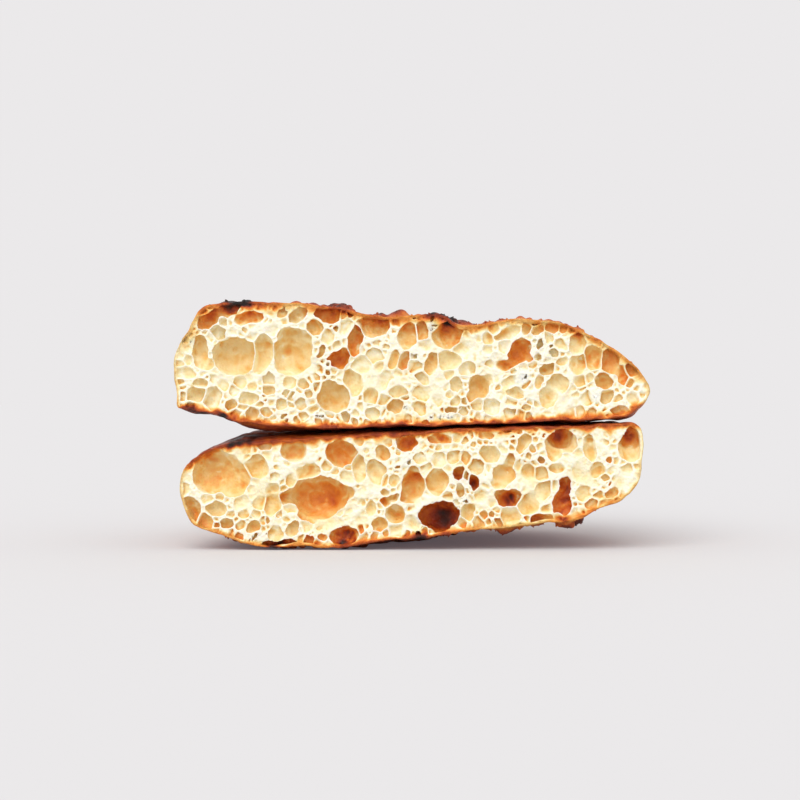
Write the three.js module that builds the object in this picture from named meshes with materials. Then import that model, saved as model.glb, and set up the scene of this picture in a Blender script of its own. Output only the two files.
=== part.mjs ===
// Focaccia: one thick flat loaf, cut across its middle into two halves.
// The halves lie on each other with their cut faces in line. The upper half is right way up, and the
// lower half is upside down, so that the two flat oven-floor sides meet and both crumbs face forward.
//
// Millimetres, +Z up. The cut faces look along -Y, and the table is the plane z = 0.

import * as THREE from 'three';

// Driving dimensions.
const DEPTH = 120; // from the cut face to the round back of a half
const SEAT_HEIGHT = 50.8; // height of the plane where the halves meet, at x = 0
const SEAT_SLOPE = 0.036; // rise of that plane along +X: the lower half is thicker on its left
const SEAT_GAP = 0.4; // clearance between the two halves at that plane
const TABLE_HEIGHT = 0; // the lower half settles flat where its belly reaches the table

const PLAN_POWER = 2.5; // how square the loaf's outline is from above: 2 is an ellipse
const RIM_POWER = 6; // how far back the slab keeps its thickness before the round rim
const LENS_POWER = 2.2; // how flat the top and bottom of the smooth back section are
const LENS_FROM = 0.7; // share of the depth where a cross-section is that smooth lens and nothing else

const FLOOR_BULGE = 4; // how far the oven-floor side swells past its cut edge, further back
const FLOOR_RUN = 22; // distance behind the cut over which that swelling builds up
const FLOOR_START = [-85, -60]; // x over which it fades in, so that the left end stays slim
const BELLY_DROP = 9; // how far the lower half's top crust sags below its cut edge, further back
const BELLY_RUN = 60; // distance behind the cut over which that sag builds up
const BELLY_START = [-95, -70]; // x over which the sag fades in
const BELLY_END = [-5, 32]; // x over which it fades out, so that the thin right end stays raised
const DIMPLE_RUN = 22; // distance behind the cut over which the dimples reach their depth
const SHOULDER = 14; // height over which all of these fade out towards the rim

const STEPS_PER_POINT = 3; // outline points made between one given point and the next
const DEPTH_STEPS = 18; // cross-sections from the cut face to the back

// Cut faces as closed outlines, [x, z], counter-clockwise from the lower left corner.
const UPPER_OUTLINE = [
  [-98, 58.8],
  [-84, 56.2],
  [-71, 52.9],
  [-52, 51.4],
  [-28, 50],
  [20, 51.8],
  [60, 53.4],
  [90, 55.3],
  [97.6, 61.5],
  [100, 68],
  [96, 75.5],
  [83, 86],
  [64, 95.6],
  [46, 97.2],
  [21, 94.8],
  [14, 99.2],
  [-12, 98.6],
  [-36, 102.9],
  [-62, 103.8],
  [-87, 103.2],
  [-94, 92.5],
  [-100, 80.5],
  [-99, 68],
];
const LOWER_OUTLINE = [
  [-96.6, 20],
  [-92, 10.6],
  [-84, 6.6],
  [-71, 2.6],
  [-57, 0.4],
  [-46, 1.5],
  [-31, 0],
  [-16, 3.3],
  [6, 4.8],
  [26, 8],
  [52, 10.4],
  [68, 11.6],
  [79, 17.2],
  [89, 20.8],
  [95.6, 28],
  [98, 38],
  [97.4, 47.5],
  [93, 53.9],
  [60, 52.8],
  [20, 51.3],
  [-20, 49],
  [-46, 47.4],
  [-66, 46.4],
  [-81, 44.4],
  [-89, 41],
  [-96.4, 34],
  [-97.8, 27],
];

// Finger dimples pressed into the top crust before baking: [x, y from the cut, radius, depth].
const DIMPLES = [
  [-58, 44, 15, 3.4],
  [-14, 34, 16, 3.8],
  [34, 46, 15, 3.6],
  [-34, 82, 15, 3.2],
  [14, 86, 16, 3.4],
];

// Each half's widest height, and how far its smooth back section reaches above and below it. The tops and
// bottoms of that section stay within the cut outline, so that the crust never rises behind the cut edge.
const UPPER_LENS = { middle: 74, above: 21, below: 24 };
const LOWER_LENS = { middle: 30, above: 24, below: 24 };

const CRUST = { color: 0xb5662a, roughness: 0.72, metalness: 0 };

const clamp01 = (value) => Math.min(1, Math.max(0, value));
const seatHeightAt = (x) => SEAT_HEIGHT + SEAT_SLOPE * x;

// Half width and half thickness that are left at a share of the depth, from 1 at the cut to 0 at the back.
const planScale = (share) => (1 - share ** PLAN_POWER) ** (1 / PLAN_POWER);
const rimScale = (share) => Math.sqrt(1 - share ** RIM_POWER);

const smooth = THREE.MathUtils.smoothstep;

// None at the height of the rim, and all of it on the flat top or bottom.
const awayFromRim = (fromMiddle) => clamp01(fromMiddle / SHOULDER);

function floorBulge(x, y, fromMiddle) {
  const alongCut = smooth(x, ...FLOOR_START);
  return FLOOR_BULGE * alongCut * Math.sqrt(clamp01(y / FLOOR_RUN)) * awayFromRim(fromMiddle);
}

function bellySag(x, y, fromMiddle) {
  const alongCut = smooth(x, ...BELLY_START) * (1 - smooth(x, ...BELLY_END));
  return BELLY_DROP * alongCut * smooth(y, 0, BELLY_RUN) * awayFromRim(fromMiddle);
}

function dimpleDepth(x, y, fromMiddle) {
  const depth = DIMPLES.reduce((sum, [cx, cy, radius, deepest]) => {
    const distance = Math.hypot(x - cx, y - cy) / radius;
    return sum + deepest * Math.exp(-distance * distance);
  }, 0);
  return depth * Math.sqrt(clamp01(y / DIMPLE_RUN)) * awayFromRim(fromMiddle);
}

// The top crust drops into its dimples, and the floor side swells down onto the seat plane.
function shapeUpper(x, y, z, midHeight) {
  const crust = z - dimpleDepth(x, y, z - midHeight);
  const floorSide = crust - floorBulge(x, y, midHeight - z);
  return Math.max(floorSide, seatHeightAt(x) + SEAT_GAP / 2);
}

// The crust side hangs down behind the cut and settles on the table, and the floor side swells up to the seat.
function shapeLower(x, y, z, midHeight) {
  const crust = Math.max(TABLE_HEIGHT, z - bellySag(x, y, midHeight - z));
  const floorSide = crust + floorBulge(x, y, z - midHeight);
  return Math.min(floorSide, seatHeightAt(x) - SEAT_GAP / 2);
}

// The uneven cut outline eases into a smooth superellipse towards the back, so that no ridge runs to the rim.
function easeToLens(point, halfWidth, lens, share) {
  const halfHeight = point.z > lens.middle ? lens.above : lens.below;
  const angle = Math.atan2((point.z - lens.middle) / halfHeight, point.x / halfWidth);
  const rounded = (value) => Math.sign(value) * Math.abs(value) ** (2 / LENS_POWER);
  const ease = smooth(share, 0, LENS_FROM);
  return {
    x: THREE.MathUtils.lerp(point.x, halfWidth * rounded(Math.cos(angle)), ease),
    z: THREE.MathUtils.lerp(point.z, lens.middle + halfHeight * rounded(Math.sin(angle)), ease),
  };
}

// A closed solid from a flat cut face at y = 0, through shrinking cross-sections, to a point at the back.
function halfLoaf(outline, lens, shape) {
  const curve = new THREE.CatmullRomCurve3(
    outline.map(([x, z]) => new THREE.Vector3(x, 0, z)),
    true,
    'centripetal'
  );
  const rimCount = outline.length * STEPS_PER_POINT;
  const rim = curve.getPoints(rimCount).slice(0, rimCount);
  const halfWidth = new THREE.Box3().setFromPoints(rim).getSize(new THREE.Vector3()).x / 2;

  const positions = [];
  for (let step = 0; step < DEPTH_STEPS; step++) {
    const share = Math.sin((step / DEPTH_STEPS) * (Math.PI / 2));
    const y = share * DEPTH;
    for (const point of rim) {
      const eased = easeToLens(point, halfWidth, lens, share);
      const x = eased.x * planScale(share);
      const z = lens.middle + (eased.z - lens.middle) * rimScale(share);
      positions.push(x, y, shape(x, y, z, lens.middle));
    }
  }
  const back = positions.length / 3;
  positions.push(0, DEPTH, lens.middle);

  const faces = THREE.ShapeUtils.triangulateShape(
    rim.map((point) => new THREE.Vector2(point.x, point.z)),
    []
  ).flat();
  for (let step = 0; step < DEPTH_STEPS; step++) {
    for (let i = 0; i < rimCount; i++) {
      const next = (i + 1) % rimCount;
      const a = step * rimCount + i;
      const b = step * rimCount + next;
      if (step === DEPTH_STEPS - 1) {
        faces.push(a, back, b);
      } else {
        faces.push(a, a + rimCount, b + rimCount, a, b + rimCount, b);
      }
    }
  }
  const geometry = new THREE.BufferGeometry();
  geometry.setAttribute('position', new THREE.Float32BufferAttribute(positions, 3));
  geometry.setIndex(faces);
  geometry.computeVertexNormals();
  return geometry;
}

function bakedHalf(name, outline, lens, shape) {
  const mesh = new THREE.Mesh(
    halfLoaf(outline, lens, shape),
    new THREE.MeshStandardMaterial(CRUST)
  );
  mesh.name = name;
  return mesh;
}

// The origin is under the middle of the stack's box, on the table.
function centredOnTable(...meshes) {
  const group = new THREE.Group();
  group.add(...meshes);
  const box = new THREE.Box3().setFromObject(group);
  const centre = box.getCenter(new THREE.Vector3());
  group.position.set(-centre.x, -centre.y, -box.min.z);
  return group;
}

const upperHalf = bakedHalf('upper_half', UPPER_OUTLINE, UPPER_LENS, shapeUpper);
const lowerHalf = bakedHalf('lower_half', LOWER_OUTLINE, LOWER_LENS, shapeLower);

const focaccia = centredOnTable(upperHalf, lowerHalf);

export default focaccia;
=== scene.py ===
import math

import bmesh
import bpy
import numpy as np
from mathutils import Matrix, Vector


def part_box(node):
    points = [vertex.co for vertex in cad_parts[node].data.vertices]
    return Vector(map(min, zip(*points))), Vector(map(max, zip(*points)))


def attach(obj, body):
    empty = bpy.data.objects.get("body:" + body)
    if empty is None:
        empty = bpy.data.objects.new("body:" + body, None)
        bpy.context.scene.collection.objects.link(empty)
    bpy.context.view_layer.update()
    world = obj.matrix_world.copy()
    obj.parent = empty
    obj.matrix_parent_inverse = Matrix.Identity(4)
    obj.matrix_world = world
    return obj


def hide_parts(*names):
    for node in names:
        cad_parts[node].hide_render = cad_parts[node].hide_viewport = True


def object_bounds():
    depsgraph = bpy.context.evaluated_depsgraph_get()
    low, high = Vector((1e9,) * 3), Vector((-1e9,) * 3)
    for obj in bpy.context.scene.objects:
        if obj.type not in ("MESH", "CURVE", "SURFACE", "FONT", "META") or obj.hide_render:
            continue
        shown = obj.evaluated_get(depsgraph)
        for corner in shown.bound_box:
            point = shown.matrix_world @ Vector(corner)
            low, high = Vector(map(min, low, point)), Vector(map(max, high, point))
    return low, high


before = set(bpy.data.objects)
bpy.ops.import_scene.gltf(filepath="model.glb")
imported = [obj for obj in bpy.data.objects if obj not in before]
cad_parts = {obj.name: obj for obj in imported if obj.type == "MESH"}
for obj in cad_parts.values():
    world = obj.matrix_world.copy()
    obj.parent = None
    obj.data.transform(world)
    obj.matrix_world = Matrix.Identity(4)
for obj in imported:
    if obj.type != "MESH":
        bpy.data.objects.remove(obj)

import openvdb
from mathutils import Vector

cad_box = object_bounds()

# A focaccia cut across its middle, its two halves stacked with both cut faces to the front.
# The loaf's baked top faces up on the upper half. The lower half lies upside down, so that the
# two oven-floor sides meet. Each half is one closed mesh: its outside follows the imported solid,
# and the open crumb is carved into the cut face as bubbles that press against each other.

MM = 0.001  # the fields below are worked out in millimetres and the meshes are in metres

# Some values below share a form:
# - noise is (size of its lumps, height of its swing)
# - a facing is how level a surface has to be to start to count and to count in full, from 0
#   for upright to 1 for level
# - a fade is (where something starts, where it is complete)

# The grid on which each half is worked out
PITCH = 0.38  # the grid's step across the cut face, and behind it as far as FINE_DEPTH
FINE_DEPTH = 10
COARSE_PITCH = 1.0  # the step at the back, where only the crust shows
STEP_GROWTH = 1.07  # how much longer each step in between is than the one before
FRONT_STEPS = 4  # steps in front of the cut
MARGIN = 3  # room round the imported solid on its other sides
SPLINE_ENDS = 4  # knots that a spline needs past the grid
COARSE_NOISE = 0.7  # step at which noise for the vertices is worked out, as a share of its lumps
SOLID_PITCH = 0.8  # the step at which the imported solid's distance is taken
SOLID_BAND = 12  # how many of those steps the distance reaches
ON_CUT = 0.01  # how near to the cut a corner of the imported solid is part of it
ISO_BAND = 2.0  # distances past this are cut off before the surface is taken
TRIANGLES = 195_000  # in the mesh of one half
TINY = 1e-4  # keeps a division by zero out of a bubble's middle

# Bubbles
FOAM_DEPTH = 20  # how far behind the cut the dough is worked out as bubbles
FAR = 9.0  # distance to a bubble where none is near
CAVITY_DEPTH = 0.85  # a chosen cavity's depth, as a share of its mouth
LOBE_BLEND = 0.6  # rounding of the edge between two lobes of one bubble
BUBBLE_WARP = ((7.0, 0.6), (2.6, 0.3))  # the noise that makes bubbles uneven
# Radius of the bubbles placed at random, and how many places are tried for it
BUBBLE_SIZES = ((3.4, 500), (2.6, 1500), (1.9, 5000), (1.4, 12000), (1.0, 26000), (0.8, 24000))
BUBBLE_SCALES = (0.8, 1.2)  # how their size varies, and their stretch each way
BUBBLE_STRETCHES = (0.75, 1.35)
BUBBLE_TILTS = (-1, 1)  # in radians
BUBBLE_PLACES = (-0.5, 0.35)  # how far behind the cut they are centred, as shares of the radius
FLATNESS = 0.5  # their depth, as a share of their width
FINEST = 0.9  # largest bubble radius right at the oven-floor side
COARSENING = 0.2  # growth of that with each millimetre from it
CRUST_ROOM = 0.6  # room that a bubble needs inside the crust, as a share of its radius
DENSITIES = (0.15, 1)  # how dense the dough has to be to keep a bubble out
CAVITY_REACH = BUBBLE_SIZES[0][0] + 1  # how far round a cavity the dough takes note of it
BUBBLE_REACH = 0.8  # the same for other bubbles, past their radius
SQUEEZE = 0.34  # how far a bubble may press into the next, as a share of its radius
GROWTH = 0.5  # how much further each bubble swells once all are placed, until walls stop it
GROWTH_NOISE = (8, 0.45)
DENSE_GROWTH = 0.7  # share of the swelling that is lost where the dough stayed dense
WALL = 0.48  # dough left between two bubbles
WALL_NOISE = (5, 0.22)
THINNEST_WALL = 0.42
FOLDS = ((4.2, 0.55), (1.7, 0.22))  # the noise that folds the inside of the bubbles

# Cut face
RIM_ROUND = 0.8  # rounding where a bubble meets the cut
RIM_NOISE = (7, 0.55)
SHARPEST_RIM = 0.25
DENT_SIZE = 4.5  # size of the dents, and their depth in open crumb and past that in dense dough
CUT_DENT = 0.2
DOUGH_DENT = 1.1

# Crust
CRUST = 1.2  # unbroken crust outside the outermost bubbles
CRUST_NOISE = (3, 0.35)
THINNEST_CRUST = 0.8
RELIEF = ((9.0, 0.35), (3.6, 0.25), (1.5, 0.12))  # the noise on the outer surface
INSET = 0.4  # how far that surface is drawn in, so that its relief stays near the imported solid
LIP = 0.6  # how far the oven-floor crust draws back at the cut
LIP_DEPTH = 5.0
LIP_FACING = (0.4, 0.9)
BLISTER_SIZES = ((5.5, 16), (3.4, 70), (2.1, 220), (1.3, 500))  # radius, and places tried
BLISTER_SCALES = (0.7, 1.2)  # how their size varies
BLISTER_SINK = 0.56  # how deep a blister's middle lies, as a share of its radius
BLISTER_BLEND = 0.4  # rounding at its foot, as a share of its radius
BLISTER_RIM = 0.80  # blisters stay within this share of the loaf's plan
BLISTER_HALO = 1.6  # how far out a blister scorches the crust, as a share of its radius
BLISTER_SCORCH = (0.2, 1)  # how scorched a blister is
RISE_STEP = 2.0  # step of the map of what stands high on the baked side
RISE_PASSES = 10  # how much that map is evened out to find what is round each place
MAP_HEIGHTS = (0, 1000)  # heights that the map covers, with the same values all the way
MOST_RISE = 2  # height above which a place bakes no darker

# How baked the crust is, from 0 for raw dough to 1 for burnt
CRUST_BAKE = 0.45
TOP_BAKE = 0.16  # added on the baked top
FLOOR_BAKE = 0.26  # added on the oven-floor side
PALE_SIDE = 0.2  # taken off the sides at the cut
PALE_SIDE_DEPTH = 10
PATCH_BAKE = 0.07  # swing from patch to patch, and from speck to speck
SPECK_BAKE = 0.05
BLISTER_BAKE = 0.26  # added on the most scorched blister
RISE_BAKE = 0.07  # added for each millimetre that a place stands high
MOST_CHAR = 0.32  # most that a chosen burnt spot adds
CHAR_DEPTH = 9.0  # how far behind the cut the chosen burnt spots reach
CHAR_REACH = (1.2, 0.5)  # that depth's scale, and how much it swings from patch to patch
CHAR_SPECK = 0.4  # how much a burnt spot swings from speck to speck
TOP_FACING = (0.1, 0.75)
FLOOR_FACING = (0.3, 0.8)
PATCH_SIZE = 12  # size of the patches, streaks and specks of both crust and crumb
STREAK_SIZE = 4
SPECK_SIZE = 1.5

# Thickness of the browned band inside the crust
BAND = 1.4
TOP_BAND = 1.9  # added under the baked top
CROWN_BAND = 0.9  # added there on the upper half, and taken off on the lower one
FLOOR_BAND = 1.3  # added at the oven-floor side
SPECK_BAND = 1.1
HOLLOW_BAND = 1.2  # added inside bubbles under the baked top
BAND_FADE = (0.2, 1.3)  # share of the band where its colour starts to fade and where it ends
BAND_PALE = 0.04  # how much less baked it is than the crust
HOLLOW_PALE = 0.12  # and how much less again inside bubbles
DRY_SHARE = 0.4  # share of the band that is dry like the crust
CRUST_EDGE = 0.25  # vertices less deep in the loaf than this are on its outer surface

# How baked the crumb is, and the painted shade that darkens it deeper in bubbles and pits
PALE = 0.2  # where no bubble is near
CRUST_TOAST = 0.16  # added to bubbles close to the crust
CRUST_TOAST_DEPTH = 3.0
TOP_TOAST = 0.16  # added to what is close to the baked top
TOP_TOAST_DEPTH = 5
STREAK_TOAST = 0.06
CREST_PALE = 0.12  # taken off the crests of the folds
CREST_FADE = (0.02, 0.18)
SKIN_DEPTH = 0.3  # depth behind the cut from which a bubble's toast starts to show, so that rims stay pale and insides darken, partly as painted shade
SKIN_FADE = 2.5
PIT_PASSES = 6  # how wide round each place the dough is looked at to tell a pit
PIT_SHADE = 1.2  # painted shade: how much darker pits are drawn, for each share of dough round them past PIT_SHARE
PIT_SHARE = 0.52
MOST_PIT = 0.35
DEEP_SHADE = 0.14  # painted shade added at the far ends of deep cavities
DEEP_FADE = (7, 13)  # depth behind the cut
LEAST_DEEP_SHADE = 0.22  # painted shade: the least darkening at the bottom of every deep bubble
LEAST_FADE = (2.5, 5.5)
LEAST_SPECK = 0.03
CRUMB_CHAR = 0.55  # how much a burnt spot tells inside the bubbles
HOLLOW_SHADE_FADE = (1.5, 7)  # depth behind the cut over which the painted shade in the dark hollows builds up

# Loose flakes
FLAKE_DENSITY = 120_000  # flakes on a square metre of the flakiest crust
FLAKE_SIZE = (0.7, 2.2)  # length of the smallest and the largest
FLAKE_TILT = 0.7  # most that a flake leans off the crust, in radians
FLAKE_WIDTH = 0.7  # its width, thickness and curled ends, as shares of its length
FLAKE_FLATNESS = 0.35
FLAKE_CURL = 0.9
LEAST_FLAKY = 0.08  # flakes anywhere on the baked top, and what char and blisters add
CHAR_FLAKY = 1.5
BLISTER_FLAKY = 0.5
FLAKY_FADE = (1.5, 3)  # height above the table

# From raw dough to burnt crust; on the crumb, darker colours also stand for painted shade
BAKE_COLOURS = (
    (0.00, "#FBF2DF"), (0.16, "#F5E3B2"), (0.32, "#EDC173"), (0.46, "#EA9437"),
    (0.60, "#D0661C"), (0.72, "#A33D11"), (0.84, "#5C2110"), (0.94, "#2B120C"), (1.00, "#140A08"),
)
CRUMB_MOTTLE = (2.0, 0.10)  # noise on how baked the colour is
CRUST_MOTTLE = (3.2, 0.30)

# Grain of the surfaces, as (size, depth). The pores are drawn coarser than real, so that they show.
CRUMB_PORES = (1.3, 0.5)
CRUST_PORES = (1.1, 0.3)
WRINKLES = (1.8, 1.8)
OIL_PATCH = 14  # size of the shinier places

# Studio
VIEW_WIDTH = 335.4  # width that is seen at the cut face
AIM = (-4.8, 62.9)  # x and z of what the camera points at in the cut face
ELEVATION = math.radians(1.0)
LENS = 85
SENSOR = 36
ROOM = 0.89  # strength of the white room's light
KEY = 1.82
KEY_SPREAD = 48  # in degrees: a large soft lamp
KEY_FROM = Vector((-0.26, -0.72, 0.84)).normalized()
PAPER = "#EBE9EA"
FLOOR_ALBEDO = 0.57
FLOOR_REACH = 3000
FLOOR_GAP = 0.2  # how far the paper lies below the bread

# Burnt spots of each half as (x, z, reach, strength)
UPPER_SCORCHES = ((-72, 104.5, 6, 0.32), (-62, 104.5, 3, 0.2), (9, 99.5, 5, 0.34), (14.5, 96.5, 4, 0.95),
                  (-33, 104.5, 4, 0.2), (-88, 56.5, 4, 0.3), (-78, 55, 4, 0.3), (66, 96, 4, 0.12),
                  (80, 89, 4, 0.12))
LOWER_SCORCHES = ((-74, 46.5, 4, 0.35), (-68, 47.5, 3, 0.3), (-56, 0, 5, 0.3), (-28, 1, 5, 0.16),
                  (74, 15, 6, 0.16), (4, 5, 3, 0.3), (18, 5, 6, 0.16), (63, 14, 4, 0.16))

# Deep hollows of the lower half whose far end is painted dark as shade, as (x, z, reach, strength)
LOWER_SHADED_HOLLOWS = ((14, 13.5, 5, 0.36), (41.2, 20.8, 3, 0.5), (62.3, 47.5, 3, 0.35), (92.3, 47.3, 3, 0.35),
                 (19.6, 30.7, 3, 0.3), (26.2, 28, 3, 0.3), (0.5, 31, 4, 0.2), (64, 23, 5, 0.3),
                 (-27, 6, 5, 0.2), (-1, 45, 5, 0.15), (-28, 41, 5, 0.1), (-49, 42, 4, 0.1))

# Where the dough stayed dense and white instead of opening into small bubbles, as (x, z, reach)
UPPER_DOUGH = ((-62, 72.5, 6), (-80, 72, 4), (-17, 72, 6), (35, 76, 6), (10, 84, 4), (-42, 76, 4),
               (52, 60, 4), (-50, 72.5, 6), (-71, 71.5, 5), (22, 84, 4), (-96, 84, 5), (66, 62, 4),
               (-4, 70, 4))
LOWER_DOUGH = ((-64, 26, 7), (-67, 18, 7), (-24, 15, 6), (-19, 25, 4), (-36, 11, 5), (50, 30, 5),
               (70, 34, 6), (86, 29, 4), (2, 20, 3), (52, 22, 4), (-90, 24, 4), (20, 37, 3), (28, 22, 4))

# Each cavity is (how dark its inside is drawn, from toast and partly painted shade, how deep its middle
# lies as a share of its radius, lobes), and each lobe is (x, z, width, height, tilt in degrees) where it
# opens in the cut face. A sixth value is how deep the middle of that lobe itself lies.
UPPER_CAVITIES = (
    # two big bubbles side by side, and the tall one left of them
    (0.24, 0.05, ((-73.5, 81, 19, 16.5, 0),)),
    (0.24, 0.05, ((-63, 82, 8.5, 16.5, -15),)),
    (0.24, 0.05, ((-50, 82, 16.5, 17, 0), (-50, 89, 13, 9, 0))),
    (0.26, 0.10, ((-88.5, 82.5, 6.5, 14, 0), (-85.5, 77, 6, 5.5, 0))),
    # toasted ones under the top crust, left to right
    (0.44, 0.15, ((-85, 96, 11, 6.5, 35), (-77.5, 99.5, 12, 4, 20))),
    (0.42, 0.15, ((-67, 97, 13, 5, 5),)),
    (0.33, 0.20, ((-61.5, 97, 3.5, 3.5, 0),)),
    (0.42, 0.05, ((-36, 99, 13, 7.5, 0),)),
    (0.33, 0.10, ((-24.5, 99, 3, 3.5, 0),)),
    (0.29, 0.00, ((-15.5, 93.5, 15, 8.5, 0),)),
    (0.37, 0.10, ((-0.5, 89.5, 8, 10.5, 0),)),
    (0.44, 0.10, ((5, 92, 6, 9, 0),)),
    (0.40, 0.10, ((15.5, 90.5, 12, 12, 0),)),
    (0.29, 0.00, ((25, 93.5, 6.5, 3.5, 0),)),
    (0.33, 0.00, ((51, 95, 6.5, 3.5, 0),)),
    (0.29, 0.00, ((59, 92.5, 7, 4, 0),)),
    # deep ones whose inside is drawn dark right through, partly toast and partly painted shade
    (0.46, 0.40, ((-23, 88, 6.5, 13, -12),)),
    (0.46, 0.40, ((-30.5, 80.5, 9.5, 7.5, 0),)),
    (0.40, 0.40, ((-38.5, 83.5, 2, 6.5, -20),)),
    (0.40, 0.40, ((-34.5, 79, 1.5, 5, -20),)),
    (0.44, 0.30, ((-6.5, 80.5, 3, 7.5, -15),)),
    (0.44, 0.30, ((-2, 80, 4, 8.5, -25),)),
    (0.46, 0.40, ((45.5, 83.5, 9, 9.5, 0), (41, 78.5, 7.5, 4, 15), (49.5, 81, 4, 4, 0))),
    (0.42, 0.60, ((48.5, 69.5, 3.5, 1.4, 40),)),
    # pale ones in the middle and along the bottom
    (0.29, 0.10, ((-41.5, 93.5, 6.5, 6.5, 0),)),
    (0.28, 0.10, ((-33, 64, 14.5, 14, 0),)),
    (0.22, 0.00, ((-24.5, 70, 7, 12, 10),)),
    (0.29, 0.20, ((-90.5, 64.5, 7.5, 6.5, 0),)),
    (0.15, 0.00, ((-68, 63.5, 8.5, 5.5, 0),)),
    (0.29, 0.10, ((-6.5, 59.5, 7.5, 5.5, 0),)),
    (0.22, 0.00, ((-89, 69, 6, 4, 0),)),
    (0.22, 0.00, ((-79.5, 68, 5.5, 4, 0),)),
    (0.22, 0.00, ((-72, 70, 6, 5, 0),)),
    (0.22, 0.00, ((-66.5, 68.5, 4, 4, 0),)),
    (0.22, 0.00, ((-59, 67.5, 6, 5, 0),)),
    (0.22, 0.00, ((-50.5, 69.5, 5.5, 5, 0),)),
    (0.22, 0.00, ((-45.5, 69, 5, 5, 0),)),
    (0.22, 0.00, ((-39.5, 68, 4, 5, 0),)),
    (0.24, 0.00, ((-75.5, 61, 5.5, 4, 0),)),
    (0.24, 0.00, ((-66.5, 57, 6, 5, 0),)),
    (0.24, 0.00, ((-61, 57.5, 5, 4, 0),)),
    (0.24, 0.00, ((-54.5, 61, 5, 4, 0),)),
    (0.25, 0.10, ((-16.5, 64, 7, 6.5, 0),)),
    (0.21, 0.00, ((-12.5, 76.5, 3.5, 6, 0),)),
    (0.25, 0.10, ((32.5, 89, 4, 5.5, 15),)),
    (0.21, 0.00, ((40, 91, 12.5, 4.5, 20),)),
    (0.29, 0.20, ((53.5, 86, 4, 5.5, 0),)),
    (0.29, 0.20, ((57, 76, 7, 5, 10),)),
    (0.22, 0.00, ((63.5, 78.5, 5, 3, 20),)),
    (0.22, 0.10, ((16, 79, 8, 8.5, 0),)),
    (0.29, 0.20, ((8.5, 78.5, 5, 8, -20),)),
    (0.21, 0.00, ((43.5, 65.5, 7, 6, 0),)),
    (0.29, 0.30, ((28.5, 68, 8.5, 9.5, 0), (26, 64.5, 5.5, 4, 0), (32, 71, 4, 4, 0))),
    (0.26, 0.10, ((61.5, 70, 9, 6.5, 0), (58, 64.5, 7, 10.5, -20))),
    (0.26, 0.10, ((54, 70.5, 3.5, 5, 0),)),
    (0.25, 0.00, ((17, 59, 6, 3.5, 10),)),
    (0.18, 0.00, ((71, 71.5, 5.5, 5, 0),)),
    (0.21, 0.00, ((82, 64.5, 5.5, 5.5, 0),)),
    (0.29, 0.00, ((87.5, 58.5, 7.5, 4, -10),)),
    # the toasted end on the right
    (0.29, 0.30, ((70.5, 79, 6, 9, -25),)),
    (0.33, 0.10, ((76.5, 81, 8.5, 10.5, 30),)),
    (0.38, 0.10, ((84, 80, 8.5, 11, 0), (88.5, 74, 5.5, 9, 0))),
    (0.36, 0.10, ((93, 76.5, 6.5, 7, 0),)),
    (0.33, 0.20, ((80.5, 71, 6.5, 7.5, 0),)),
    (0.25, 0.00, ((92, 70, 4, 4, 0),)),
)
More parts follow.
